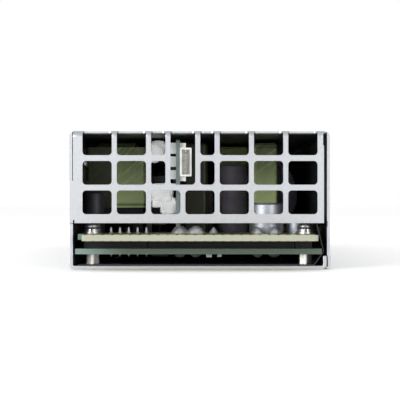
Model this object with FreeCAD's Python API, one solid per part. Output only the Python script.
import FreeCAD, Part
import math
import os

# Hot swap server power supply in a slim sheet-metal case.
# The frame: X across the case, -Y the output end with its card edge, +Y the handle end,
# +Z up. The origin is the middle of the tray's underside. All sizes are in millimetres.

V = FreeCAD.Vector

# ------------------------------------------------------------------ case
case_width = 73.5
case_height = 39.0
case_length = 185.0
cover_wall = 0.8
tray_wall = 1.0
bend_inside = 0.9
tray_bend_inside = 0.4
lap_gap = 0.3            # cover wall to tray lip
seam = 0.2               # edges of sheets that meet
flange_bottom = 25.0     # height where the cover's short left flange ends
lip_top = 3.8            # top of the tray's short right lip
wall_jog = 0.22          # the right wall steps out to lap the lip
wall_jog_height = 3.5
wall_foot = 0.65         # lower edge of the right wall

# ------------------------------------------------------------------ grille
grille_columns = 7
hole_pitch = 9.65
hole_width = 8.25
hole_corner = 1.05
row_gap = 1.6
hole_height = 6.7
panel_bottom = 13.0
first_row = 15.5         # lower edge of the bottom row
top_row_reach = 3.0      # how far the top row runs back over the bend
narrow_hole = 4.05       # slots beside the tall window
corner_relief = 0.85
relief_height = 34.7

# ------------------------------------------------------------------ case screws
countersink = 2.6        # radius at the sheet's face
countersink_depth = 0.9
head_clearance = 0.1
case_screw_length = 3.0
tab_width = 12.0
tab_gap = 0.3            # cover's left flange to the tab behind it

# ------------------------------------------------------------------ boards
board_thickness = 1.6
board_under = 4.2        # underside of the main board
board_side_gap = 0.55
film_room = 1.35         # right wall to board, where the film stands
spacer_height = 2.5
tongue_width = 64.7
tongue_reach = 11.0      # card edge beyond the case
card_depth = 22.0
finger_count = 25
finger_pitch = 2.54
finger_width = 1.8
finger_length = 8.5
board_setback = 0.6
film_thickness = 0.2

# ------------------------------------------------------------------ card fasteners
card_screw_in = 8.0      # screws behind the output face
screw_shank = 2.9
screw_hole = 3.3
screw_head = 4.6
screw_head_height = 1.7
flat_washer = 5.6
flat_washer_thickness = 0.5
spring_washer = 4.9
spring_washer_thickness = 0.8
standoff_flats = 4.0
post_width = 2.0
post_play = 0.15
header_width = 0.64
header_play = 0.13
header_tail = 1.0        # below the main board
header_tip = 1.8         # above the card
mound_diameter = 4.4
mound_height = 2.1
lower_mound_diameter = 3.2
lower_mound_height = 1.2

# ------------------------------------------------------------------ fan
fan_size = 36.0
fan_depth = 28.0
fan_bore = fan_size - 2.4
fan_flange = 3.4
fan_wall = 0.9
fan_hole_pitch = fan_size - 6.0
blade_count = 7
blade_gap = 0.5          # blade tip to bore
hub_diameter = 17.0
shaft_diameter = 2.0
shaft_play = 0.06
motor_base = 2.2         # thickness of the motor base and its struts
motor_base_in = 2.6      # base to the duct's front end
neck_diameter = 5.0
neck_length = 14.0
stator_height = 7.0
pole_reach = 6.2
rotor_in = 2.2           # rotor to the duct's rear end
rotor_wall = 1.2
fan_screw = 2.8
lead_diameter = 2.2
lead_bend = 5.0          # to the middle of the lead
lead_angle = 56.0        # where the lead passes the rear flange
fan_side_gap = 4.6       # left wall to fan, where the latch arm swings

# ------------------------------------------------------------------ front panel
panel_wall = 0.8
panel_gap = 0.15
panel_tab = 12.0         # width of the panel's flanges
panel_tab_reach = 8.5
hex_flats = 4.4
hex_pitch = 5.2
guard_radius = fan_bore / 2 - 0.4
board_front_gap = 3.0    # end of the main board to the fan

# ------------------------------------------------------------------ mains inlet
socket_width = 16.4
socket_height = 24.2
inlet_side = 1.7         # inlet's wall beside the socket
inlet_roof = 1.5         # inlet's wall above and below the socket
flange_lap = 1.5         # flange beyond the body on each side
flange_lap_up = 1.6
inlet_width = socket_width + 2 * inlet_side
inlet_height = socket_height + 2 * inlet_roof
inlet_depth = 16.6       # body behind the panel
inlet_flange_width = inlet_width + 2 * flange_lap
inlet_flange_height = inlet_height + 2 * flange_lap_up
inlet_flange_thickness = 2.4
inlet_from_wall = 0.6    # flange edge to the right wall
socket_depth = 16.0
socket_corner = 4.6
contact_recess = 4.8     # contact tips behind the flange face
contact_thickness = 2.0
contact_width = 4.0
contact_pitch = 14.0
earth_offset = 4.0
contact_tail = 1.4       # contacts behind the inlet's body
contact_foot = 1.6       # width of each leg down to the board
contact_sheet = 0.8
foot_play = 0.2

# ------------------------------------------------------------------ handle
handle_width = 5.0
handle_reach = 27.0
handle_bar = 4.6
handle_bottom = 2.4
handle_top = 36.6
handle_from_fan = 0.9
handle_corner = 7.0

# ------------------------------------------------------------------ latch
latch_pin_diameter = 2.0
latch_pin_play = 0.05
knuckle_wall = 0.7
knuckle_diameter = latch_pin_diameter + 2 * knuckle_wall
knuckle_height = 3.0
bracket_wall = 0.6
bracket_gap = 0.3
latch_pivot_back = 34.5  # pivot behind the front face
latch_arm_wall = 0.8
latch_arm_bottom = 12.0
latch_arm_top = 24.0
hook_back = 8.0          # catch face behind the front face
hook_length = 7.0
hook_bottom = 14.5
hook_top = 21.5
hook_reach = 1.5         # hook beyond the left wall
slot_room = 1.0
lever_reach = 21.0
lever_bottom = 9.5
lever_top = 26.5
lever_wall = 2.6
lever_cheek = 1.9        # lever's clamp on each side of the arm
arm_reach = 8.0          # arm beyond the front face
press_play = 0.03
spring_wire = 0.5
spring_inner = latch_pin_diameter / 2 + 0.2
spring_outer = spring_inner + spring_wire + 0.05

# ------------------------------------------------------------------ status light
pipe_diameter = 2.0
pipe_gap = 0.12          # pipe to the panel's flange
pipe_height = 36.4

# ------------------------------------------------------------------ worked-out places
left = -case_width / 2
right = case_width / 2
rear = -case_length / 2
front = case_length / 2
wall_in_left = left + tray_wall
wall_in_right = right - wall_jog - cover_wall
roof = case_height - cover_wall
lip_out = right - cover_wall - lap_gap
lip_in = lip_out - tray_wall
bend_out = bend_inside + cover_wall
panel_right = wall_in_right - corner_relief
panel_left = left + cover_wall + seam
board_left = wall_in_left + board_side_gap
board_right = wall_in_right - film_room
board_top = board_under + board_thickness
card_under = board_top + spacer_height
card_top = card_under + board_thickness
card_left = board_left + 0.8
card_rear = rear + board_setback
card_front = card_rear + card_depth
tongue_end = rear - tongue_reach
screw_y = rear + card_screw_in
screw_left_x = -tongue_width / 2 + 1.4
screw_right_x = tongue_width / 2 - 2.05
panel_inner = front - panel_wall
fan_x = wall_in_left + fan_side_gap + fan_size / 2
fan_z = (tray_wall + roof) / 2
fan_back = panel_inner - fan_depth
motor_z = fan_depth - motor_base_in
lead_orbit = fan_bore / 2 + fan_wall + lead_diameter / 2 + 0.15
lead_across = lead_orbit * math.cos(math.radians(lead_angle))
lead_up = lead_orbit * math.sin(math.radians(lead_angle))
lead_x = fan_x + lead_across
lead_z = fan_z + lead_up
board_front = fan_back - board_front_gap
inlet_x = wall_in_right - inlet_from_wall - inlet_flange_width / 2
inlet_z = (tray_wall + roof) / 2
handle_x = fan_x + fan_size / 2 + handle_from_fan + handle_width / 2
latch_x = wall_in_left + bracket_wall + bracket_gap + knuckle_diameter / 2
latch_y = front - latch_pivot_back
arm_out = latch_x - knuckle_diameter / 2 - 0.1
arm_in = arm_out + latch_arm_wall
pipe_x = inlet_x + panel_tab / 2 + pipe_gap + pipe_diameter / 2
pipe_y = panel_inner - inlet_depth - 4.6
board_step_x = handle_x + handle_width / 2 + 0.8


# ------------------------------------------------------------------ helpers
def box(x0, x1, y0, y1, z0, z1):
    """A block between two corners."""
    return Part.makeBox(x1 - x0, y1 - y0, z1 - z0, V(x0, y0, z0))


def rod(x, y, z, radius, length, axis=V(0, 0, 1)):
    """A round bar that starts at a point and runs along an axis."""
    return Part.makeCylinder(radius, length, V(x, y, z), axis)


def tube(x, y, z, outer, inner, length, axis=V(0, 0, 1)):
    """A round bar with a round bore."""
    return rod(x, y, z, outer, length, axis).cut(rod(x, y, z, inner, length, axis))


def fuse(shapes):
    """One solid from pieces that overlap."""
    return shapes[0].multiFuse(shapes[1:]).removeSplitter()


def cut(shape, tools):
    """A shape with several holes."""
    for tool in tools:
        shape = shape.cut(tool)
    return shape


PLANES = {
    "XY": (lambda u, v, w: V(u, v, w), V(0, 0, 1)),
    "XZ": (lambda u, v, w: V(u, w, v), V(0, 1, 0)),
    "YZ": (lambda u, v, w: V(w, u, v), V(1, 0, 0)),
}


def outline(corners, plane, level):
    """A closed wire through (u, v, radius) corners, each rounded by an arc of its radius."""
    place = PLANES[plane][0]
    runs = []
    count = len(corners)
    for i in range(count):
        u, v, radius = corners[i]
        back = V(corners[i - 1][0] - u, corners[i - 1][1] - v, 0).normalize()
        ahead = corners[(i + 1) % count]
        onward = V(ahead[0] - u, ahead[1] - v, 0).normalize()
        corner = V(u, v, 0)
        if radius > 0:
            half = back.getAngle(onward) / 2
            reach = radius / math.tan(half)
            middle = (back + onward).normalize()
            centre = corner + middle * (radius / math.sin(half))
            runs.append((corner + back * reach, centre - middle * radius, corner + onward * reach))
        else:
            runs.append((corner, None, corner))
    edges = []
    for i in range(count):
        start, mid, end = runs[i]
        if mid is not None:
            arc = [place(p.x, p.y, level) for p in (start, mid, end)]
            edges.append(Part.Arc(*arc).toShape())
        ahead = runs[(i + 1) % count][0]
        if (ahead - end).Length > 1e-7:
            edges.append(Part.makeLine(place(end.x, end.y, level), place(ahead.x, ahead.y, level)))
    return Part.Wire(edges)


def prism(corners, plane, start, end):
    """A closed outline carried straight from one level to another."""
    face = Part.Face(outline(corners, plane, start))
    return face.extrude(PLANES[plane][1] * (end - start))


def plate(u0, u1, v0, v1, radius, plane, start, end):
    """A rectangle with four rounded corners, carried straight."""
    corners = [(u0, v0, radius), (u1, v0, radius), (u1, v1, radius), (u0, v1, radius)]
    return prism(corners, plane, start, end)


def sheet(path, thickness, inside, plane, start, end):
    """Bent sheet: a path of (u, v) points with the metal on its left, bent to one inside radius.

    An inside radius of None leaves every fold sharp.
    """
    steps = [V(b[0] - a[0], b[1] - a[1], 0).normalize() for a, b in zip(path, path[1:])]
    near = []
    far = []
    for i, (u, v) in enumerate(path):
        into = steps[max(i - 1, 0)]
        out = steps[min(i, len(steps) - 1)]
        normals = V(-into.y, into.x, 0) + V(-out.y, out.x, 0)
        offset = normals * (thickness / (1 + into.dot(out)))
        turn = into.x * out.y - into.y * out.x
        radius_near = radius_far = 0
        if inside is not None and turn > 1e-9:
            radius_near = inside + thickness
            radius_far = inside
        if inside is not None and turn < -1e-9:
            radius_near = inside
            radius_far = inside + thickness
        near.append((u, v, radius_near))
        far.append((u + offset.x, v + offset.y, radius_far))
    return prism(near + far[::-1], plane, start, end)


def edges_where(shape, test):
    """The edges whose bounding box passes a test."""
    return [edge for edge in shape.Edges if test(edge.BoundBox)]


def top_rims(shape):
    """Every level edge at the top of a block."""
    top = shape.BoundBox.ZMax
    return edges_where(shape, lambda b: b.ZMin > top - 1e-6)


def square_bar(x, y, width, low, high):
    """An upright square bar centred on a point."""
    return box(x - width / 2, x + width / 2, y - width / 2, y + width / 2, low, high)


def ring_points(x, z, radius, count, phase=0.0):
    """Places evenly spaced on a circle in an upright plane."""
    turns = [phase + 2 * math.pi * i / count for i in range(count)]
    return [(x + radius * math.cos(t), z + radius * math.sin(t)) for t in turns]


# ------------------------------------------------------------------ case
def grille_cutter(x0, x1, z0, z1):
    """One rounded grille hole through the output panel."""
    return plate(x0, x1, z0, z1, hole_corner, "XZ", rear - 1, rear + cover_wall + 1)


def top_row_cutter(x0, x1, z0):
    """A top-row hole: it climbs the panel, rounds the bend and ends on the top sheet."""
    rise = [(x0, z0, hole_corner), (x1, z0, hole_corner)]
    rise += [(x1, case_height + 1, 0), (x0, case_height + 1, 0)]
    climb = prism(rise, "XZ", rear - 1, rear + cover_wall + 0.4)
    run = [(x0, rear - 1, 0), (x1, rear - 1, 0)]
    run += [(x1, rear + top_row_reach, hole_corner), (x0, rear + top_row_reach, hole_corner)]
    over = prism(run, "XY", case_height - bend_out - 0.4, case_height + 1)
    return climb.fuse(over)


def grille_cutters():
    """Seven columns by three rows, with a tall window and two slots in columns three and four."""
    tools = []
    first_x = -(grille_columns * hole_pitch - (hole_pitch - hole_width)) / 2
    rows = [first_row + i * (hole_height + row_gap) for i in range(3)]
    bar = hole_pitch - hole_width
    for column in range(grille_columns):
        x0 = first_x + column * hole_pitch
        x1 = x0 + hole_width
        tools.append(grille_cutter(x0, x1, rows[0], rows[0] + hole_height))
        if column in (2, 3):
            continue
        tools.append(grille_cutter(x0, x1, rows[1], rows[1] + hole_height))
        tools.append(top_row_cutter(x0, x1, rows[2]))
    pair_left = first_x + 2 * hole_pitch
    pair_right = pair_left + hole_pitch + hole_width
    for x0 in (pair_left, pair_right - narrow_hole):
        tools.append(grille_cutter(x0, x0 + narrow_hole, rows[1], rows[1] + hole_height))
        tools.append(top_row_cutter(x0, x0 + narrow_hole, rows[2]))
    window_left = pair_left + narrow_hole + bar
    window_right = pair_right - narrow_hole - bar
    tools.append(top_row_cutter(window_left, window_right, rows[1]))
    return tools


left_screw_z = flange_bottom + 5.5
right_screw_z = lip_top + 4.6
screw_places = [rear + 24.0, front - 51.5]
top_screw_y = panel_inner - 4.6
top_screw_x = inlet_x


def countersink_cutter(x, y, z, axis, radius=countersink):
    """A countersunk hole that starts at a sheet's face and runs along an axis."""
    start = V(x, y, z)
    small = radius - 1.05
    cone = Part.makeCone(radius, small, countersink_depth, start, axis)
    return cone.fuse(Part.makeCylinder(screw_hole / 2, 4, start, axis))


def countersunk_screw(x, y, z, axis, length=case_screw_length):
    """A flat-head screw with its face flush with the sheet."""
    start = V(x, y, z)
    big = countersink - head_clearance
    small = screw_shank / 2
    cone = Part.makeCone(big, small, countersink_depth, start, axis)
    return cone.fuse(Part.makeCylinder(small, length, start, axis)).removeSplitter()


def make_cover():
    """Top, short left flange and full right wall bent as one, with the output panel bent down."""
    profile = [(right, wall_foot), (right, wall_jog_height)]
    profile += [(right - wall_jog, wall_jog_height + 0.7), (right - wall_jog, case_height)]
    profile += [(left, case_height), (left, flange_bottom)]
    body = sheet(profile, cover_wall, bend_inside, "XZ", rear, front)
    gap = box(panel_left - seam, wall_in_right, rear - 1, rear + bend_out, roof - bend_out, case_height + 1)
    body = body.cut(gap)
    drop = [(rear + bend_out + 2, case_height), (rear, case_height), (rear, panel_bottom)]
    panel = sheet(drop, cover_wall, bend_inside, "YZ", panel_left, panel_right)
    ear = box(left + 0.15, panel_left + 1, rear, rear + cover_wall, panel_bottom, flange_bottom - seam)
    body = fuse([body, panel, ear])
    notch = plate(panel_left, panel_left + 0.45, panel_bottom - 1, panel_bottom + 0.9, 0.2,
                  "XZ", rear - 1, rear + 2)
    corner = prism([(panel_right - 0.7, panel_bottom - 1, 0), (panel_right + 1, panel_bottom - 1, 0),
                    (panel_right + 1, panel_bottom + 0.7, 0)], "XZ", rear - 1, rear + 2)
    relief = plate(panel_right - 0.25, wall_in_right + 0.02, relief_height, roof, 0.42,
                   "XZ", rear - 1, rear + bend_out + 0.6)
    holes = [countersink_cutter(top_screw_x, top_screw_y, case_height, V(0, 0, -1))]
    for y in screw_places:
        holes.append(countersink_cutter(left, y, left_screw_z, V(1, 0, 0)))
        holes.append(countersink_cutter(right - wall_jog, y, right_screw_z, V(-1, 0, 0)))
    return cut(body, [notch, corner, relief] + grille_cutters() + holes)


def make_tray():
    """Floor, left wall and short right lip, with tabs that take the case screws."""
    profile = [(left, flange_bottom - seam), (left, 0), (lip_out, 0), (lip_out, lip_top)]
    body = sheet(profile, tray_wall, tray_bend_inside, "XZ", rear, front)
    step = left + cover_wall + tab_gap
    joggle = [(step, flange_bottom + 10), (step, flange_bottom - 1.4), (left, flange_bottom - 3.0)]
    joggle.append((left, flange_bottom - 6))
    half = tab_width / 2
    holes = [box(left - 1, wall_in_left + 1, rear - 1, rear + cover_wall + 0.1, panel_bottom - 0.1,
                 flange_bottom + 1)]
    tabs = []
    for y in screw_places:
        body = body.cut(box(left - 1, wall_in_left + 0.5, y - half, y + half, flange_bottom - 3.5,
                            flange_bottom))
        tabs.append(sheet(joggle, tray_wall, None, "XZ", y - half + 0.2, y + half - 0.2))
        tabs.append(box(lip_in, lip_out, y - half, y + half, lip_top - 2, right_screw_z + 3.2))
        holes.append(rod(left, y, left_screw_z, screw_shank / 2 + 0.05, 5, V(1, 0, 0)))
        holes.append(rod(right - 5, y, right_screw_z, screw_shank / 2 + 0.05, 4, V(1, 0, 0)))
    slot_end = front - hook_back + slot_room
    holes.append(plate(slot_end - hook_length - 2 * slot_room, slot_end, hook_bottom - slot_room,
                       hook_top + slot_room, 0.8, "YZ", left - 1, wall_in_left + 1))
    holes.append(countersink_cutter(top_screw_x, top_screw_y, 0, V(0, 0, 1)))
    return cut(fuse([body] + tabs), holes)


def make_case_screws():
    """Four side screws and the two that hold the front panel, all flat-headed."""
    screws = [countersunk_screw(top_screw_x, top_screw_y, case_height, V(0, 0, -1)),
              countersunk_screw(top_screw_x, top_screw_y, 0, V(0, 0, 1))]
    for y in screw_places:
        screws.append(countersunk_screw(left, y, left_screw_z, V(1, 0, 0)))
        screws.append(countersunk_screw(right - wall_jog, y, right_screw_z, V(-1, 0, 0)))
    return Part.Compound(screws)


def make_insulator_sheet():
    """Thin film on the tray's floor, folded up and over the lip beside the boards."""
    low = tray_wall + 0.1
    floor = box(wall_in_left + 1.2, screw_right_x + 1.6, rear + 2.5, board_front - 1, low,
                low + film_thickness)
    fold = [(screw_right_x + 1.0, low), (lip_in - 2.2, low), (lip_in - 1.4, 2.2), (lip_in, lip_top + 0.35),
            (wall_in_right - 0.55, lip_top + 1.1), (lip_in - 1.4, 12.4), (lip_in - 1.8, 14.6)]
    wing = sheet(fold, film_thickness, None, "XZ", rear + 2.5, screw_places[0] - tab_width / 2 - 1)
    holes = [square_bar(x, screw_y, standoff_flats + 1.2, 0, 3) for x in (screw_left_x, screw_right_x)]
    return cut(fuse([floor, wing]), holes)


# ------------------------------------------------------------------ front panel
def hexagon(x, z):
    """One honeycomb hole."""
    radius = hex_flats / math.sqrt(3)
    return prism([(px, pz, 0) for px, pz in ring_points(x, z, radius, 6, math.pi / 6)],
                 "XZ", panel_inner - 1, front + 1)


def honeycomb():
    """Every honeycomb hole that falls wholly inside the fan's circle."""
    tools = []
    rise = hex_pitch * math.sqrt(3) / 2
    rows = int(guard_radius / rise)
    for row in range(-rows, rows + 1):
        shift = (row % 2) * hex_pitch / 2
        for column in range(-4, 5):
            u = column * hex_pitch + shift
            w = row * rise
            if math.hypot(u, w) + hex_flats / 2 < guard_radius:
                tools.append(hexagon(fan_x + u, fan_z + w))
    return tools


fan_screw_places = [(fan_x + i * fan_hole_pitch / 2, fan_z + j * fan_hole_pitch / 2)
                    for i in (-1, 1) for j in (-1, 1)]
handle_screw_places = [handle_bottom + handle_bar / 2 + 0.4, handle_top - handle_bar / 2 - 0.4]


def socket_outline(x, z, width, height, corner, radius):
    """The mains socket's outline: a rectangle with its two inner corners cut off."""
    a = width / 2
    b = height / 2
    return [(x - a + corner, z - b, radius), (x + a, z - b, radius), (x + a, z + b, radius),
            (x - a + corner, z + b, radius), (x - a, z + b - corner, radius),
            (x - a, z - b + corner, radius)]


def make_front_panel():
    """Flat panel with the fan's honeycomb and cut-outs, and a flange at its top and foot."""
    bottom = tray_wall + panel_gap
    top = roof - panel_gap
    body = plate(wall_in_left + panel_gap, wall_in_right - panel_gap, bottom, top, bend_inside + 0.1,
                 "XZ", panel_inner, front)
    half = panel_tab / 2
    back = panel_inner - panel_tab_reach
    for low, z0, z1 in ((bottom, bottom - 1, bottom + bend_out), (top, top - bend_out, top + 1)):
        body = body.cut(box(inlet_x - half - 0.5, inlet_x + half + 0.5, panel_inner - 1, front + 1, z0, z1))
    mid = (bottom + top) / 2
    foot = sheet([(back, bottom), (front, bottom), (front, bottom + 4)], panel_wall, bend_inside,
                 "YZ", inlet_x - half, inlet_x + half)
    head = sheet([(front, top - 4), (front, top), (back, top)], panel_wall, bend_inside,
                 "YZ", inlet_x - half, inlet_x + half)
    body = fuse([body, foot, head])
    hole = socket_outline(inlet_x, inlet_z, inlet_width + 0.3, inlet_height + 0.3, 0.8, 0)
    tools = [prism(hole, "XZ", panel_inner - 1, front + 1)]
    tools.append(box(lip_in - panel_gap, right, panel_inner - 1, front + 1, 0, lip_top + panel_gap))
    tools.append(box(wall_in_left - 1, fan_x - fan_size / 2 - 0.1, panel_inner - 1, front + 1,
                     latch_arm_bottom - 0.8, latch_arm_top + 0.8))
    tools.append(rod(pipe_x, panel_inner - 1, pipe_height, pipe_diameter / 2 + 0.05, 3, V(0, 1, 0)))
    for x, z in fan_screw_places:
        tools.append(rod(x, panel_inner - 1, z, 1.8, 3, V(0, 1, 0)))
    for z in handle_screw_places:
        tools.append(rod(handle_x, panel_inner - 1, z, screw_hole / 2, 3, V(0, 1, 0)))
    for z in (0, roof - 2):
        tools.append(rod(top_screw_x, top_screw_y, z, screw_shank / 2 + 0.05, 4))
    return cut(body, tools + honeycomb())


# ------------------------------------------------------------------ boards at the output end
card_screw_xs = [screw_left_x, screw_right_x]
post_xs = [-5.9, -1.15, 16.6, 21.35]
lone_joint_x = 3.8
lone_joint_diameter = 2.0
lone_joint_height = 1.5
header_xs = [-25.6 + i * finger_pitch for i in range(5)]
post_y = rear + 9.0
header_y = rear + 9.0
spacer_edges = [-33.2, -14.9, 27.0, 32.0]


def output_board_cutters():
    """Holes through both boards and the blocks between them: screws, copper posts and signal pins."""
    high = card_top + 1
    tools = [rod(x, screw_y, 0, screw_hole / 2, high) for x in card_screw_xs]
    tools += [square_bar(x, post_y, post_width + 2 * post_play, 0, high) for x in post_xs]
    tools += [square_bar(x, header_y, header_width + 2 * header_play, 0, high) for x in header_xs]
    return tools


def make_main_board():
    """The main circuit board: full width behind the fan, stepped beside it to carry the inlet."""
    rear_edge = rear + board_setback
    front_edge = panel_inner - 2.5
    points = [(board_left, rear_edge, 0), (board_right, rear_edge, 0), (board_right, front_edge, 0),
              (board_step_x, front_edge, 0), (board_step_x, board_front, 0), (board_left, board_front, 0)]
    body = prism(points, "XY", board_under, board_top)
    tools = output_board_cutters()
    for y in screw_places:
        tools.append(box(lip_in - 0.6, lip_in + 2, y - tab_width / 2 - 0.5, y + tab_width / 2 + 0.5, 0, 10))
    for x in contact_foot_xs():
        tools.append(box(x - contact_foot / 2 - foot_play, x + contact_foot / 2 + foot_play,
                         contact_back - foot_play, contact_back + contact_sheet + foot_play, 0, 10))
    return cut(body, tools)


def make_output_card():
    """The output card: its tongue reaches out of the case and carries the contact fingers."""
    edge = tongue_width / 2
    points = [(-edge, tongue_end, 0.8), (edge, tongue_end, 0.8), (edge, card_front, 0),
              (card_left, card_front, 0), (card_left, card_rear, 0), (-edge, card_rear, 0)]
    return cut(prism(points, "XY", card_under, card_top), output_board_cutters())


def make_gold_fingers():
    """Contact fingers on both faces of the tongue."""
    plating = 0.06
    first = -(finger_count - 1) / 2 * finger_pitch
    fingers = []
    for i in range(finger_count):
        x = first + i * finger_pitch
        for z in (card_under - plating, card_top):
            fingers.append(box(x - finger_width / 2, x + finger_width / 2, tongue_end + 0.7,
                               tongue_end + 0.7 + finger_length, z, z + plating))
    return Part.Compound(fingers)


def make_card_spacers():
    """Three black blocks that hold the card above the main board."""
    blocks = [box(x0 + 0.1, x1 - 0.1, rear + 4.4, rear + 12.4, board_top, card_under)
              for x0, x1 in zip(spacer_edges, spacer_edges[1:])]
    return Part.Compound([cut(block, output_board_cutters()) for block in blocks])


def make_header_pins():
    """Five square signal pins through both boards."""
    return Part.Compound([square_bar(x, header_y, header_width, board_under - header_tail,
                                     card_top + header_tip) for x in header_xs])


def make_power_posts():
    """Four square copper posts that carry the output current up to the card."""
    return Part.Compound([square_bar(x, post_y, post_width, board_under, card_top) for x in post_xs])


def solder_mound(x, z, diameter, height, axis=V(0, 0, 1)):
    """One mound: a cone with a flat crown."""
    return Part.makeCone(diameter / 2, diameter / 4, height, V(x, post_y, z), axis)


def make_solder_joints():
    """A mound of solder at both ends of each post, and one lone joint on the card."""
    mounds = [solder_mound(lone_joint_x, card_top, lone_joint_diameter, lone_joint_height)]
    for x in post_xs:
        mounds.append(solder_mound(x, card_top, mound_diameter, mound_height))
        mounds.append(solder_mound(x, board_under, lower_mound_diameter, lower_mound_height, V(0, 0, -1)))
    return Part.Compound(mounds)


def make_standoffs():
    """Hexagonal posts between the tray and the main board."""
    posts = []
    for x in card_screw_xs:
        corners = ring_points(x, screw_y, standoff_flats / math.sqrt(3), 6)
        post = prism([(px, py, 0) for px, py in corners], "XY", tray_wall, board_under)
        posts.append(post.cut(rod(x, screw_y, 0, screw_shank / 2 + 0.05, board_under + 1)))
    return Part.Compound(posts)


def make_flat_washers():
    """Flat washers on the card."""
    return Part.Compound([tube(x, screw_y, card_top, flat_washer / 2, screw_shank / 2 + 0.1,
                               flat_washer_thickness) for x in card_screw_xs])


def make_spring_washers():
    """Split spring washers, each with the gap that makes it a spring."""
    washers = []
    z = card_top + flat_washer_thickness
    for x in card_screw_xs:
        ring = tube(x, screw_y, z, spring_washer / 2, screw_shank / 2 + 0.1, spring_washer_thickness)
        split = box(x - 0.2, x + 0.2, screw_y - spring_washer, screw_y, z - 1, z + 2)
        washers.append(ring.cut(split))
    return Part.Compound(washers)


def make_card_screws():
    """Pan-head screws down through both boards into the standoffs."""
    screws = []
    under_head = card_top + flat_washer_thickness + spring_washer_thickness
    for x in card_screw_xs:
        shank = rod(x, screw_y, tray_wall + 0.4, screw_shank / 2, under_head - tray_wall)
        head = Part.makeCylinder(screw_head / 2, screw_head_height, V(x, screw_y, under_head))
        head = head.makeChamfer(0.5, [head.Edges[0]])
        screws.append(fuse([shank, head]))
    return Part.Compound(screws)


# ------------------------------------------------------------------ fan
def fan_at(solid):
    """Turn a solid made along +Z about the origin so that it lies on the fan's axis."""
    solid = solid.copy()
    solid.rotate(V(0, 0, 0), V(1, 0, 0), -90)
    solid.translate(V(fan_x, fan_back, fan_z))
    return solid


def make_fan_frame():
    """Square flanges at both ends of a round duct, with three struts that carry the motor base."""
    half = fan_size / 2
    front_flange = fan_depth - fan_flange
    flanges = [plate(-half, half, -half, half, 2.2, "XY", z, z + fan_flange) for z in (0, front_flange)]
    duct = rod(0, 0, 0, fan_bore / 2 + fan_wall, fan_depth)
    body = fuse(flanges + [duct])
    body = body.cut(rod(0, 0, -1, fan_bore / 2, fan_depth + 2))
    hub = rod(0, 0, motor_z, hub_diameter / 2, motor_base)
    neck = rod(0, 0, motor_z - neck_length, neck_diameter / 2, neck_length + 0.5)
    struts = []
    for i in range(3):
        strut = box(hub_diameter / 2 - 0.8, fan_bore / 2 + 0.4, -0.8, 0.8, motor_z, motor_z + motor_base)
        strut.rotate(V(0, 0, 0), V(0, 0, 1), 30 + 120 * i)
        struts.append(strut)
    bearing = rod(0, 0, 0, (shaft_diameter + shaft_play) / 2, motor_z + 1.4)
    pitch = fan_hole_pitch / 2
    holes = [rod(i * pitch, j * pitch, front_flange - 1, fan_screw / 2 + 0.05, fan_flange + 2)
             for i in (-1, 1) for j in (-1, 1)]
    holes.append(rod(lead_across, -lead_up, -1, lead_diameter / 2 + 0.05, fan_flange + 2))
    return fan_at(cut(fuse([body, hub, neck] + struts), [bearing] + holes))


def make_fan_stator():
    """Four-pole laminated core with its coils, pressed on the bearing neck."""
    low = motor_z - 4.0 - stator_height
    high = low + stator_height
    core = rod(0, 0, low, 3.6, stator_height)
    poles = [box(-pole_reach, pole_reach, -1.1, 1.1, low, high),
             box(-1.1, 1.1, -pole_reach, pole_reach, low, high)]
    coils = []
    for i in range(4):
        coil = box(3.9, 5.4, -2.0, 2.0, low - 1.0, high + 1.0)
        coil.rotate(V(0, 0, 0), V(0, 0, 1), 90 * i)
        coils.append(coil)
    return fan_at(fuse([core] + poles + coils).cut(rod(0, 0, 0, neck_diameter / 2, fan_depth)))


def fan_blade():
    """One twisted blade between its root inside the hub and its tip, before trimming."""
    sections = []
    for radius, pitch in ((6.0, 52.0), (18.0, 33.0)):
        slope = math.radians(pitch)
        chord = 19.0 if radius < 10 else 21.0
        side = V(0, math.cos(slope), math.sin(slope))
        lift = V(0, -math.sin(slope), math.cos(slope))
        start = V(radius, 0, 12.4) - side * (chord / 2)
        camber = [(0.0, 0.0), (0.35, -1.5), (0.7, -1.3), (1.0, 0.0)]
        points = [start + side * (chord * t) + lift * c for t, c in camber]
        points += [start + side * (chord * t) + lift * (c + 0.9) for t, c in camber[2:0:-1]]
        sections.append(Part.makePolygon(points + [points[0]]))
    return Part.makeLoft(sections, True, True)


def make_fan_rotor():
    """Hub cup with twisted blades trimmed to the duct."""
    top = motor_z - 0.8
    hub = rod(0, 0, rotor_in, hub_diameter / 2, top - rotor_in)
    hub = hub.makeChamfer(0.8, edges_where(hub, lambda b: b.ZMax < rotor_in + 1e-6))
    ring = tube(0, 0, rotor_in + 0.6, fan_bore / 2 - blade_gap, hub_diameter / 2 - 0.6,
                top - rotor_in - 1.2)
    blade = fan_blade().common(ring)
    blades = []
    for i in range(blade_count):
        turned = blade.copy()
        turned.rotate(V(0, 0, 0), V(0, 0, 1), 360.0 / blade_count * i)
        blades.append(turned)
    body = fuse([hub] + blades)
    cavity = rod(0, 0, rotor_in + 1.4, hub_diameter / 2 - rotor_wall, fan_depth)
    boss = rod(0, 0, rotor_in + 1.0, 1.8, 4.2)
    bore = rod(0, 0, rotor_in + 0.8, shaft_diameter / 2, 8)
    return fan_at(fuse([body.cut(cavity), boss]).cut(bore))


def make_fan_shaft():
    """Steel shaft, pressed into the rotor's boss and running in the bearing neck."""
    start = rotor_in + 0.8
    return fan_at(rod(0, 0, start, shaft_diameter / 2, motor_z + 1.2 - start))


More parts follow.
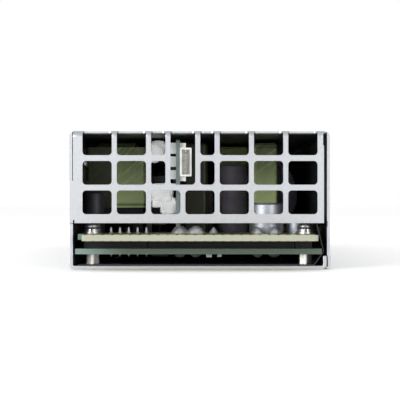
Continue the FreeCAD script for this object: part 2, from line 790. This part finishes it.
def make_fan_screws():
    """Four pan-head self-tapping screws through the front panel into the fan's corners."""
    screws = []
    for x, z in fan_screw_places:
        head = Part.makeCone(2.9, 2.2, 1.7, V(x, front, z), V(0, 1, 0))
        shank = rod(x, front - 7.8, z, fan_screw / 2, 8.2, V(0, 1, 0))
        screws.append(fuse([head, shank]))
    return Part.Compound(screws)


connector_y = board_front - 5.0
plug_top = board_top + 6.2


def make_fan_lead():
    """Sleeved fan lead: outside the duct, through the rear flange and down to its connector."""
    y_start = fan_back + fan_depth - fan_flange
    y_end = connector_y
    radius = lead_diameter / 2
    back = rod(lead_x, y_end + lead_bend, lead_z, radius, y_start - y_end - lead_bend, V(0, 1, 0))
    down = rod(lead_x, y_end, plug_top, radius, lead_z - lead_bend - plug_top)
    section = Part.Face(Part.Wire([Part.makeCircle(radius, V(lead_x, y_end, lead_z - lead_bend))]))
    bend = section.revolve(V(lead_x, y_end + lead_bend, lead_z - lead_bend), V(1, 0, 0), -90)
    return fuse([back, bend, down])


def make_fan_connector():
    """White four-way header and plug where the fan's lead meets the board."""
    header_top = board_top + 2.4
    base = box(lead_x - 5.2, lead_x + 5.2, connector_y - 2.9, connector_y + 2.9, board_top, header_top)
    plug = box(lead_x - 4.6, lead_x + 4.6, connector_y - 2.2, connector_y + 2.2, header_top, plug_top)
    return fuse([base, plug])


# ------------------------------------------------------------------ mains inlet
def make_inlet_body():
    """Moulded mains inlet: flange on the panel, body behind it, and the socket's deep cavity."""
    face = front + inlet_flange_thickness
    flange = plate(inlet_x - inlet_flange_width / 2, inlet_x + inlet_flange_width / 2,
                   inlet_z - inlet_flange_height / 2, inlet_z + inlet_flange_height / 2, 2.0,
                   "XZ", front, face)
    shell = prism(socket_outline(inlet_x, inlet_z, inlet_width, inlet_height, socket_corner, 0.8),
                  "XZ", panel_inner - inlet_depth, front + 0.5)
    cavity = prism(socket_outline(inlet_x, inlet_z, socket_width, socket_height, socket_corner - 0.5, 0.5),
                   "XZ", face - socket_depth, face + 1)
    slots = [box(x0, x1, panel_inner - inlet_depth - 1, face, z0, z1)
             for x0, x1, z0, z1 in contact_sections()]
    return cut(fuse([flange, shell]), [cavity] + slots)


def contact_sections():
    """Width and height of the line, neutral and earth contacts in the socket's plane."""
    a = contact_thickness / 2
    b = contact_width / 2
    places = [(inlet_x + 1.4, inlet_z - contact_pitch / 2), (inlet_x + 1.4, inlet_z + contact_pitch / 2),
              (inlet_x + 1.4 - earth_offset, inlet_z)]
    return [(x - b, x + b, z - a, z + a) for x, z in places]


contact_back = panel_inner - inlet_depth - contact_tail


def contact_foot_xs():
    """Middle of each contact's leg: the upper contact's leg passes outside the lower contact."""
    middles = [(x0 + x1) / 2 for x0, x1, z0, z1 in contact_sections()]
    middles[1] += contact_width / 2 + contact_foot / 2 + 1.0
    return middles


def make_inlet_contacts():
    """Three flat contacts, each bent down behind the inlet's body into the board."""
    tip = front + inlet_flange_thickness - contact_recess
    contacts = []
    for (x0, x1, z0, z1), foot_x in zip(contact_sections(), contact_foot_xs()):
        blade = box(x0, x1, contact_back, tip, z0, z1)
        blade = blade.makeChamfer(0.5, edges_where(blade, lambda b: b.YMin > tip - 1e-6))
        foot_left = foot_x - contact_foot / 2
        foot_right = foot_x + contact_foot / 2
        rear_face = contact_back + contact_sheet
        foot = box(foot_left, foot_right, contact_back, rear_face, board_under - 0.8, z1)
        arm = box(min(x0, foot_left), max(x1, foot_right), contact_back, rear_face, z0, z1)
        contacts.append(fuse([blade, arm, foot]))
    return Part.Compound(contacts)


# ------------------------------------------------------------------ handle
def make_handle():
    """Moulded loop handle with rounded edges and a foot pad at each end."""
    end = front + handle_reach
    outer = [(front, handle_bottom, 0), (end, handle_bottom, handle_corner),
             (end, handle_top, handle_corner), (front, handle_top, 0)]
    inner_corner = handle_corner - handle_bar + 0.6
    grip = end - handle_bar
    low = handle_bottom + handle_bar
    high = handle_top - handle_bar
    inner = [(front - 1, low, 0), (grip, low, inner_corner), (grip, high, inner_corner), (front - 1, high, 0)]
    x0 = handle_x - handle_width / 2
    x1 = handle_x + handle_width / 2
    loop = prism(outer, "YZ", x0, x1).cut(prism(inner, "YZ", x0 - 1, x1 + 1))
    rims = edges_where(loop, lambda b: b.XLength < 1e-6 and b.YMax > front + 0.1)
    loop = loop.makeChamfer(0.9, rims)
    bores = [rod(handle_x, front - 1, z, 1.3, 9, V(0, 1, 0)) for z in handle_screw_places]
    return cut(loop, bores)


def make_handle_screws():
    """Two pan-head screws from behind the front panel into the handle's feet."""
    screws = []
    for z in handle_screw_places:
        head = rod(handle_x, panel_inner - 1.6, z, 2.3, 1.6, V(0, 1, 0))
        shank = rod(handle_x, panel_inner - 0.5, z, 1.25, 8.0, V(0, 1, 0))
        screws.append(fuse([head, shank]))
    return Part.Compound(screws)


# ------------------------------------------------------------------ latch
knuckle_levels = [latch_arm_bottom, latch_arm_top - knuckle_height]
arm_end = front + arm_reach


def make_latch_arm():
    """Steel arm: two rolled knuckles on the pin, a flat strip forward and a pressed-out hook."""
    upper = latch_arm_top
    lower = latch_arm_bottom
    strip = box(arm_out, arm_in, latch_y, arm_end, lower, upper)
    spring_room = box(arm_out - 1, arm_in + 1, latch_y - 3, latch_y + 2.6, lower + knuckle_height,
                      upper - knuckle_height)
    narrow = [box(arm_out - 1, arm_in + 1, front + 2.4, arm_end + 1, z0, z1)
              for z0, z1 in ((upper - 2.5, upper + 1), (lower - 1, lower + 2.5))]
    strip = cut(strip, [spring_room] + narrow)
    catch = front - hook_back
    tip = left - hook_reach
    hook = [(arm_out + 0.1, catch, 0), (tip + 0.5, catch, 0), (tip, catch - 0.5, 0), (tip, catch - 1.8, 0),
            (wall_in_left + 0.4, catch - hook_length, 0), (arm_out + 0.1, catch - hook_length, 0)]
    nose = prism(hook, "XY", hook_bottom, hook_top)
    knuckles = [rod(latch_x, latch_y, z, knuckle_diameter / 2, knuckle_height) for z in knuckle_levels]
    hole = rod(latch_x, latch_y, 0, latch_pin_diameter / 2 + latch_pin_play, 40)
    return fuse([strip, nose] + knuckles).cut(hole)


def make_latch_lever():
    """Moulded release lever: a clamp pressed over the arm's end and a ribbed thumb pad."""
    start = front + 0.8
    end = front + lever_reach
    outer = arm_out - lever_cheek
    path = [(outer - 0.9, end), (outer, end - 7.5), (outer, start)]
    pad = sheet(path, lever_wall, 2.0, "XY", lever_bottom, lever_top)
    clamp = plate(outer, arm_in + lever_cheek, start, arm_end + 1.6, 0.8, "XY", lever_bottom + 1.6,
                  lever_top - 1.6)
    ribs = [box(outer - 0.5 - 0.12 * i, outer + 0.5, end - 8.6 + 1.7 * i, end - 7.9 + 1.7 * i,
                lever_bottom + 2.0, lever_top - 2.0) for i in range(5)]
    pocket = box(arm_out - press_play, arm_in + press_play, start - 1, arm_end + press_play,
                 latch_arm_bottom + 2.5 - press_play, latch_arm_top - 2.5 + press_play)
    body = fuse([pad, clamp] + ribs)
    mouth = box(arm_out - press_play, arm_in + press_play, start - 1, front + 2.4 + press_play,
                latch_arm_bottom - press_play, latch_arm_top + press_play)
    return cut(body, [pocket, mouth])


def make_latch_bracket():
    """Bracket on the left wall: a back plate with two ears that hold the pin."""
    reach = latch_x + knuckle_diameter / 2 + 0.4
    low = latch_arm_bottom - 0.3 - bracket_wall
    high = latch_arm_top + 0.3 + bracket_wall
    path = [(reach, high), (wall_in_left, high), (wall_in_left, low), (reach, low)]
    body = sheet(path, bracket_wall, 0.2, "XZ", latch_y - 5.2, latch_y + 2.6)
    ears = prism([(reach + 1, latch_y - 6, 0), (reach + 1, latch_y - 2.6, 0),
                  (latch_x - 1.0, latch_y - 6, 0)], "XY", 0, case_height)
    hole = rod(latch_x, latch_y, 0, latch_pin_diameter / 2, 40)
    return cut(body, [ears, hole])


def make_latch_pin():
    """Steel pin through the bracket's ears and the arm's knuckles."""
    low = latch_arm_bottom - 0.3 - bracket_wall - 0.4
    high = latch_arm_top + 0.3 + bracket_wall + 0.4
    return rod(latch_x, latch_y, low, latch_pin_diameter / 2, high - low)


def make_latch_spring():
    """Torsion spring round the pin: its coil, a leg on the arm and a leg back to the bracket."""
    low = latch_arm_bottom + knuckle_height + 0.4
    high = latch_arm_top - knuckle_height - 0.4
    mid = (low + high) / 2
    bore = rod(latch_x, latch_y, low - 1, spring_inner, high - low + 2)
    coil = rod(latch_x, latch_y, low, spring_outer, high - low)
    near = arm_in + press_play
    up = mid + 1.2
    down = mid - 1.2 - spring_wire
    front_leg = box(near, near + spring_wire, latch_y, latch_y + 9.0, up, up + spring_wire)
    behind = latch_x - 1.0
    back_leg = box(behind - spring_wire, behind, latch_y - 6.5, latch_y, down, down + spring_wire)
    return fuse([coil, front_leg, back_leg]).cut(bore)


# ------------------------------------------------------------------ status light
def make_light_pipe():
    """Clear pipe from the panel back over the inlet and down to the light on the board."""
    radius = pipe_diameter / 2
    across = rod(pipe_x, pipe_y, pipe_height, radius, front + 0.5 - pipe_y, V(0, 1, 0))
    down = rod(pipe_x, pipe_y, board_top + 2.0, radius, pipe_height - board_top - 2.0)
    elbow = Part.makeSphere(radius, V(pipe_x, pipe_y, pipe_height))
    return fuse([across, down, elbow])


def make_status_light():
    """Two-colour indicator under the pipe."""
    return box(pipe_x - 1.4, pipe_x + 1.4, pipe_y - 1.2, pipe_y + 1.2, board_top, board_top + 1.7)


# ------------------------------------------------------------------ control board
control_wall = 1.1
control_left = -6.95
control_right = control_left + control_wall
control_rear = rear + 12.0
control_front = control_rear + 34.0
control_top = roof - 1.2
pin_count = 6
pin_pitch = 1.25
wafer_bottom = 26.4
wafer_top = 34.7
wafer_width = 3.4
wafer_depth = 5.4
wafer_wall = 0.55
wafer_floor = 1.4
pin_width = 0.4


def make_control_board():
    """Upright control board: its rear part stands on the card, the rest on the main board."""
    step = card_front + 0.4
    points = [(control_rear, card_top, 0), (step, card_top, 0), (step, board_top, 0),
              (control_front, board_top, 0.6), (control_front, control_top, 0.6),
              (control_rear, control_top, 0.6)]
    return prism(points, "YZ", control_left, control_right)


def make_control_connector():
    """White side-entry wafer on the control board, open to the output end, with its two lugs."""
    x1 = control_right + wafer_width
    y1 = control_rear + wafer_depth
    body = plate(control_right, x1, wafer_bottom, wafer_top, 0.25, "XZ", control_rear, y1)
    cavity = box(control_right + wafer_wall, x1 - wafer_wall, control_rear - 1, y1 - wafer_floor,
                 wafer_bottom + wafer_wall, wafer_top - wafer_wall)
    key = box(x1 - 1, x1 + 1, control_rear - 1, control_rear + 2.4, wafer_bottom + 1.8, wafer_top - 1.8)
    lugs = [box(control_right, control_right + 1.7, control_rear + 1.2, control_rear + 3.6, z, z + 1.7)
            for z in (wafer_bottom - 1.4, wafer_top - 0.3)]
    return cut(fuse([body] + lugs), [cavity, key])


def make_connector_pins():
    """Six square pins standing in the wafer's cavity."""
    x = control_right + wafer_width / 2
    first = (wafer_bottom + wafer_top) / 2 - (pin_count - 1) / 2 * pin_pitch
    half = pin_width / 2
    y0 = control_rear + 0.9
    y1 = control_rear + wafer_depth - wafer_floor
    pins = []
    for i in range(pin_count):
        z = first + i * pin_pitch
        pins.append(box(x - half, x + half, y0, y1, z - half, z + half))
    return Part.Compound(pins)


# From the control board's rear edge, height, length, height of the part and how far it stands off.
control_parts = [(1.0, 33.0, 2.4, 3.2, 1.7), (1.2, 29.2, 2.2, 3.0, 1.7), (1.0, 25.6, 2.6, 2.6, 1.8),
                 (0.9, 22.4, 2.2, 1.9, 1.5), (8.0, 27.0, 5.0, 4.0, 1.6), (18.0, 24.0, 7.0, 7.0, 1.2)]
# Middle, distance from the output face, width, length and depth below the main board.
under_parts = [(2.6, 7.0, 1.6, 3.2, 1.1), (5.6, 7.6, 1.2, 2.0, 1.0), (-12.0, 20.0, 5.0, 6.0, 1.4)]


def make_board_parts():
    """Chips and passives on the control board's left face and beneath the main board."""
    parts = []
    for y, z, length, height, rise in control_parts:
        start = control_rear + y
        parts.append(box(control_left - rise, control_left, start, start + length, z, z + height))
    for x, y, length, width, drop in under_parts:
        start = rear + y
        parts.append(box(x - length / 2, x + length / 2, start, start + width, board_under - drop,
                         board_under))
    return Part.Compound(parts)


def make_silicone_beads():
    """White silicone: a bead on the heatsink's top edge and a mass between it and the control board."""
    y = heatsink_rear
    top_bead = (sink_left + 1.0, sink_left + 6.2, y - 2.2, y + 2.6, sink_top, roof - 0.3)
    low_mass = (sink_left + 0.8, control_left - 0.1, y - 3.4, y, board_top + 9.4, board_top + 18.2)
    beads = []
    for x0, x1, y0, y1, z0, z1 in (top_bead, low_mass):
        bead = plate(x0, x1, z0, z1, 1.6, "XZ", y0, y1)
        beads.append(bead.makeChamfer(0.9, edges_where(bead, lambda b: b.YMax < y0 + 0.01)))
    return Part.Compound(beads)


# ------------------------------------------------------------------ output stage
transformer_left = wall_in_left + 1.1
transformer_right = transformer_left + 17.9
transformer_rear = rear + 31.0
transformer_depth = 25.0
core_bottom = 17.4
core_top = 35.4
core_leg = 3.0           # each outer leg of the core
winding_width = 18.6
winding_gap = 7.0        # the core's middle leg, with the winding's former
bobbin_base = 4.2
bobbin_leg = 3.0
tape_wall = 0.3
sink_left = transformer_right + tape_wall + 0.3
sink_wall = 1.5
sink_top = 31.3
sink_foot = 3.2
sink_length = 28.0
heatsink_rear = rear + 28.5


def make_transformer_core():
    """Ferrite double-E core with its windows open above and below."""
    y0 = transformer_rear
    y1 = y0 + transformer_depth
    core = plate(transformer_left, transformer_right, y0, y1, 1.0, "XY", core_bottom, core_top)
    mid = (y0 + y1) / 2
    reach = winding_width / 2 + 0.2
    windows = [box(transformer_left + core_leg, transformer_right - core_leg, near, far,
                   core_bottom - 1, core_top + 1)
               for near, far in ((mid - reach, mid - winding_gap / 2), (mid + winding_gap / 2, mid + reach))]
    return cut(core, windows)


def make_transformer_winding():
    """Wound bundle round the core's middle leg, standing proud above and below the windows."""
    mid = transformer_rear + transformer_depth / 2
    half = winding_width / 2
    x0 = transformer_left + core_leg + 0.2
    x1 = transformer_right - core_leg - 0.2
    block = plate(mid - half, mid + half, core_bottom - 2.4, core_top + 1.8, 2.0, "YZ", x0, x1)
    room = winding_gap / 2 + 0.2
    leg = box(x0 - 1, x1 + 1, mid - room, mid + room, core_bottom - 0.05, core_top + 0.05)
    return block.cut(leg)


def make_transformer_tape():
    """Band of olive tape round the outside of the core."""
    y0 = transformer_rear
    y1 = y0 + transformer_depth
    outer = plate(transformer_left - tape_wall, transformer_right + tape_wall, y0 - tape_wall,
                  y1 + tape_wall, 1.0 + tape_wall, "XY", core_bottom - 0.2, core_top + 0.2)
    inner = plate(transformer_left, transformer_right, y0, y1, 1.0, "XY", core_bottom - 1, core_top + 1)
    return outer.cut(inner)


def make_transformer_bobbin():
    """Black base under the core, with legs down to the main board and room for the winding."""
    y0 = transformer_rear
    y1 = y0 + transformer_depth
    low = core_bottom - 0.2 - bobbin_base
    base = plate(transformer_left, transformer_right, y0, y1, 1.0, "XY", low, core_bottom - 0.2)
    mid = (y0 + y1) / 2
    half = winding_width / 2 + 0.2
    room = box(transformer_left + core_leg, transformer_right - core_leg, mid - half, mid + half,
               core_bottom - 2.6, core_top)
    legs = [box(x, x + bobbin_leg, y, y + bobbin_leg, board_top, low + 0.4)
            for x in (transformer_left + 0.6, transformer_right - 0.6 - bobbin_leg)
            for y in (y0 + 0.6, y1 - 0.6 - bobbin_leg)]
    return fuse([base] + legs).cut(room)


def taped_block(x0, x1, y0, y1, top, radius=1.4):
    """A choke wrapped in tape: an upright block with rounded corners and a softened top."""
    body = plate(x0, x1, y0, y1, radius, "XY", board_top, top)
    return body.makeChamfer(0.7, top_rims(body))


def make_taped_chokes():
    """Four taped chokes: by the control board, beside and behind the capacitors, by the left wall."""
    high = roof - 1.0
    wall = wall_in_left + 2.6
    near_board = taped_block(control_right + 0.5, 2.4, rear + 34.0, rear + 52.0, high)
    beside_cans = taped_block(16.6, 24.1, rear + 38.0, rear + 57.0, high, 0.8)
    behind_cans = taped_block(5.2, 16.2, rear + 65.5, rear + 77.0, high)
    by_wall = taped_block(wall, wall + 15.0, rear + 62.0, rear + 77.0, board_top + 17.0, 2.0)
    return Part.Compound([near_board, beside_cans, behind_cans, by_wall])


output_can = 10.0
output_can_height = 25.0
small_can = 6.3
sleeved_can_height = 12.0
polymer_can_height = 8.7
low_can_height = 5.2


def can(x, y, z, radius, height, crimp=False):
    """An upright round capacitor with a chamfered rim and a crimp near its foot."""
    points = [(0, 0), (radius, 0)]
    if crimp:
        points += [(radius, 1.4), (radius - 0.4, 1.8), (radius, 2.2)]
    points += [(radius, height - 0.5), (radius - 0.5, height), (0, height)]
    wire = Part.makePolygon([V(r, 0, h) for r, h in points] + [V(0, 0, 0)])
    solid = Part.Face(wire).revolve(V(0, 0, 0), V(0, 0, 1), 360)
    solid.translate(V(x, y, z))
    return solid


def make_output_capacitors():
    """Sleeved output capacitors on the main board and a small one on the card."""
    small_x = -tongue_width / 2 + 1.0
    return Part.Compound([can(10.8, rear + 59.0, board_top, output_can / 2, output_can_height),
                          can(21.8, rear + 65.5, board_top, output_can / 2, output_can_height),
                          can(small_x, rear + 19.0, card_top, small_can / 2, sleeved_can_height)])


def make_polymer_capacitors():
    """Bare aluminium polymer capacitors on the output card."""
    return Part.Compound([can(19.5, rear + 16.2, card_top, output_can / 2, polymer_can_height),
                          can(28.6, rear + 17.6, card_top, small_can / 2, low_can_height)])


def make_secondary_heatsink():
    """Flat aluminium heatsink with a bent foot, between the transformer and the control board."""
    path = [(sink_left, sink_top), (sink_left, board_top), (sink_left + sink_foot, board_top)]
    return sheet(path, sink_wall, 0.3, "XZ", heatsink_rear, heatsink_rear + sink_length)


# ------------------------------------------------------------------ mains stage
primary_left = -8.2
primary_wall = 2.5
primary_rear = rear + 78.0
primary_length = 54.0
fin_count = 3
fin_reach = 6.5
fin_wall = 1.4
fin_pitch = 3.8
bridge_length = 14.0
bridge_height = 18.0
bridge_thickness = 3.6
bridge_corner = 2.5
bridge_leg_pitch = 3.4
bulk_radius = 15.0
bulk_length = 47.0
bulk_x = wall_in_right - 2.4 - bulk_radius
bulk_rear = rear + 79.0
choke_x = wall_in_left + 14.2
choke_y = rear + 96.5
choke_outer = 9.6
choke_inner = 5.6
choke_height = 11.0
choke_turns = 16
choke_wire = 1.3
choke_lift = 2.0         # core above the board
standby_width = 13.0
standby_length = 14.0
standby_height = 17.5
filter_width = 17.0
filter_leg = 4.5
filter_winding = 7.2
relay_width = 20.0
relay_length = 10.0
relay_height = 15.5
disc_radius = 3.6
disc_thickness = 2.6
fuse_length = 20.0
fuse_room = 3.5          # fuse to the right wall, where a case screw ends
fuse_cap = 5.2
fuse_cap_length = 5.0


def make_primary_heatsink():
    """Extruded heatsink: an upright plate with three fins over the boost choke."""
    top = roof - 1.4
    back = primary_left + primary_wall
    tip = primary_left - fin_reach
    points = [(back, board_top, 0), (back, top, 0.8)]
    for i in range(fin_count):
        z = top - i * fin_pitch
        if i > 0:
            points.append((primary_left, z, 0))
        points += [(tip, z, 0.5), (tip, z - fin_wall, 0.5), (primary_left, z - fin_wall, 0)]
    points.append((primary_left, board_top, 0))
    return prism(points, "XZ", primary_rear, primary_rear + primary_length)


def power_package(face, y, z, width, height, thickness):
    """A power transistor: moulded body with a chamfered front and three legs to the board."""
    front_face = face + thickness
    body = box(face, front_face, y - width / 2, y + width / 2, z, z + height)
    body = body.makeChamfer(0.4, edges_where(body, lambda b: b.XMin > front_face - 1e-6))
    mid = face + thickness / 2
    legs = [box(mid - 0.3, mid + 0.3, y + k * width / 4 - 0.5, y + k * width / 4 + 0.5, board_top, z + 0.5)
            for k in (-1, 0, 1)]
    return fuse([body] + legs)


def make_power_transistors():
    """Two small packages on the secondary heatsink and two large ones on the primary."""
    secondary = sink_left + sink_wall
    primary = primary_left + primary_wall
    parts = [power_package(secondary, heatsink_rear + d, board_top + 6.0, 10.0, 15.0, 4.4)
             for d in (9.0, 21.0)]
    parts += [power_package(primary, primary_rear + d, board_top + 5.0, 15.8, 20.5, 5.0)
              for d in (9.5, 27.5)]
    return Part.Compound(parts)


def make_bridge_rectifier():
    """Mains bridge rectifier on the primary heatsink, with one corner cut and four legs."""
    face = primary_left + primary_wall
    y0 = primary_rear + 38.0
    y1 = y0 + bridge_length
    z0 = board_top + 5.5
    z1 = z0 + bridge_height
    points = [(y0, z0, 0), (y1, z0, 0), (y1, z1, 0), (y0 + bridge_corner, z1, 0), (y0, z1 - bridge_corner, 0)]
    body = prism(points, "YZ", face, face + bridge_thickness)
    first = y0 + 1.5
    legs = [box(face + 1.4, face + 2.2, first + bridge_leg_pitch * i, first + bridge_leg_pitch * i + 0.8,
                board_top, z0 + 0.5) for i in range(4)]
    return fuse([body] + legs)


def make_bulk_capacitor():
    """Large smoothing capacitor lying along the case, its crimp towards the front."""
    solid = can(0, 0, 0, bulk_radius, bulk_length, True)
    solid.rotate(V(0, 0, 0), V(1, 0, 0), 90)
    solid.translate(V(bulk_x, bulk_rear + bulk_length, board_top + 0.3 + bulk_radius))
    return solid


def make_boost_choke_core():
    """Powder toroid lying flat above the board."""
    return tube(choke_x, choke_y, board_top + choke_lift, choke_outer, choke_inner, choke_height)


def make_boost_choke_winding():
    """Turns of heavy wire round the toroid, each a squared loop with a gap left for the ends."""
    clear = 0.1
    wire = choke_wire
    inside = choke_inner - clear
    outside = choke_outer + clear
    low = board_top + choke_lift - clear
    high = board_top + choke_lift + choke_height + clear
    loop = plate(inside - wire, outside + wire, low - wire, high + wire, 0, "XZ", -wire / 2, wire / 2)
    loop = loop.cut(plate(inside, outside, low, high, 0, "XZ", -wire, wire))
    turns = []
    for i in range(choke_turns):
        turn = loop.copy()
        turn.rotate(V(0, 0, 0), V(0, 0, 1), 20 + 320.0 * i / (choke_turns - 1))
        turn.translate(V(choke_x, choke_y, 0))
        turns.append(turn)
    return Part.Compound(turns)


def make_standby_transformer():
    """Small taped transformer between the boost choke and the output stage."""
    x0 = primary_left + 0.2
    x1 = x0 + standby_width
    y0 = rear + 62.0
    y1 = y0 + standby_length
    base = box(x0, x1, y0, y1, board_top, board_top + 3.0)
    body = box(x0 + 0.8, x1 - 0.8, y0 + 0.8, y1 - 0.8, board_top + 2.5, board_top + standby_height)
    return fuse([base, body.makeChamfer(0.7, top_rims(body))])


def make_filter_choke():
    """Mains filter choke: a closed core with a winding on each upright leg, on a base."""
    x0 = inlet_x - filter_width / 2
    x1 = inlet_x + filter_width / 2
    y = board_front - 9.0
    low = board_top + 3.0
    high = board_top + 22.0
    core = box(x0, x1, y - 3.0, y + 3.0, low, high)
    window = box(x0 + filter_leg, x1 - filter_leg, y - 4.0, y + 4.0, low + 4.0, high - 4.0)
    windings = []
    half = filter_winding / 2
    for x in (x0 + filter_leg / 2, x1 - filter_leg / 2):
        winding = box(x - half, x + half, y - 4.7, y + 4.7, low + 4.2, high - 4.2)
        upright = edges_where(winding, lambda b: b.ZLength > 1)
        windings.append(winding.makeChamfer(1.6, upright))
    base = box(x0 - 1.0, x1 + 1.0, y - 6.0, y + 6.0, board_top, low + 0.1)
    return fuse([core.cut(window), base] + windings)


def make_x_capacitors():
    """Two boxed film capacitors across the mains."""
    wall = wall_in_left + 2.6
    y = board_front
    first = box(-12.0, 6.0, y - 19.5, y - 11.5, board_top, board_top + 14.0)
    second = box(wall, wall + 18.0, y - 26.0, y - 17.5, board_top, board_top + 15.0)
    return Part.Compound([first, second])


def make_y_capacitors():
    """Two disc capacitors to earth, on short legs."""
    x = handle_x + 0.2
    discs = []
    for y in (board_front - 9.5, board_front - 3.5):
        disc = rod(x, y - disc_thickness / 2, board_top + 6.0, disc_radius, disc_thickness, V(0, 1, 0))
        legs = [square_bar(x + s, y, 0.6, board_top, board_top + 5.0) for s in (-2.5, 2.5)]
        discs.append(fuse([disc] + legs))
    return Part.Compound(discs)


def make_relay():
    """Inrush relay in its black case."""
    x = wall_in_left + 2.0
    y = board_front - 38.5
    body = box(x, x + relay_width, y, y + relay_length, board_top, board_top + relay_height)
    return body.makeChamfer(0.5, top_rims(body))


def make_fuse():
    """Ceramic fuse with plated end caps on two clips."""
    z = board_top + 5.0
    y = board_front - 21.0
    x0 = wall_in_right - fuse_room - fuse_length
    ends = (x0, x0 + fuse_length - fuse_cap_length)
    body = rod(x0, y, z, fuse_cap / 2 - 0.3, fuse_length, V(1, 0, 0))
    caps = [rod(x, y, z, fuse_cap / 2, fuse_cap_length, V(1, 0, 0)) for x in ends]
    clips = [box(x + 1.5, x + 3.5, y - 1.8, y + 1.8, board_top, z) for x in ends]
    return fuse([body] + caps + clips)


# ------------------------------------------------------------------ write every node
NODES = {
    "cover": make_cover,
    "tray": make_tray,
    "case_screws": make_case_screws,
    "insulator_sheet": make_insulator_sheet,
    "front_panel": make_front_panel,
    "main_board": make_main_board,
    "output_card": make_output_card,
    "gold_fingers": make_gold_fingers,
    "card_spacers": make_card_spacers,
    "header_pins": make_header_pins,
    "power_posts": make_power_posts,
    "solder_joints": make_solder_joints,
    "standoffs": make_standoffs,
    "flat_washers": make_flat_washers,
    "spring_washers": make_spring_washers,
    "card_screws": make_card_screws,
    "control_board": make_control_board,
    "control_connector": make_control_connector,
    "connector_pins": make_connector_pins,
    "board_parts": make_board_parts,
    "silicone_beads": make_silicone_beads,
    "transformer_core": make_transformer_core,
    "transformer_winding": make_transformer_winding,
    "transformer_tape": make_transformer_tape,
    "transformer_bobbin": make_transformer_bobbin,
    "taped_chokes": make_taped_chokes,
    "output_capacitors": make_output_capacitors,
    "polymer_capacitors": make_polymer_capacitors,
    "secondary_heatsink": make_secondary_heatsink,
    "primary_heatsink": make_primary_heatsink,
    "power_transistors": make_power_transistors,
    "bridge_rectifier": make_bridge_rectifier,
    "bulk_capacitor": make_bulk_capacitor,
    "boost_choke_core": make_boost_choke_core,
    "boost_choke_winding": make_boost_choke_winding,
    "standby_transformer": make_standby_transformer,
    "filter_choke": make_filter_choke,
    "x_capacitors": make_x_capacitors,
    "y_capacitors": make_y_capacitors,
    "relay": make_relay,
    "fuse": make_fuse,
    "fan_frame": make_fan_frame,
    "fan_stator": make_fan_stator,
    "fan_rotor": make_fan_rotor,
    "fan_shaft": make_fan_shaft,
    "fan_screws": make_fan_screws,
    "fan_lead": make_fan_lead,
    "fan_connector": make_fan_connector,
    "inlet_body": make_inlet_body,
    "inlet_contacts": make_inlet_contacts,
    "handle": make_handle,
    "handle_screws": make_handle_screws,
    "latch_arm": make_latch_arm,
    "latch_lever": make_latch_lever,
    "latch_bracket": make_latch_bracket,
    "latch_pin": make_latch_pin,
    "latch_spring": make_latch_spring,
    "light_pipe": make_light_pipe,
    "status_light": make_status_light,
}

os.makedirs("parts", exist_ok=True)
for name, make in NODES.items():
    make().exportStep("parts/" + name + ".step")
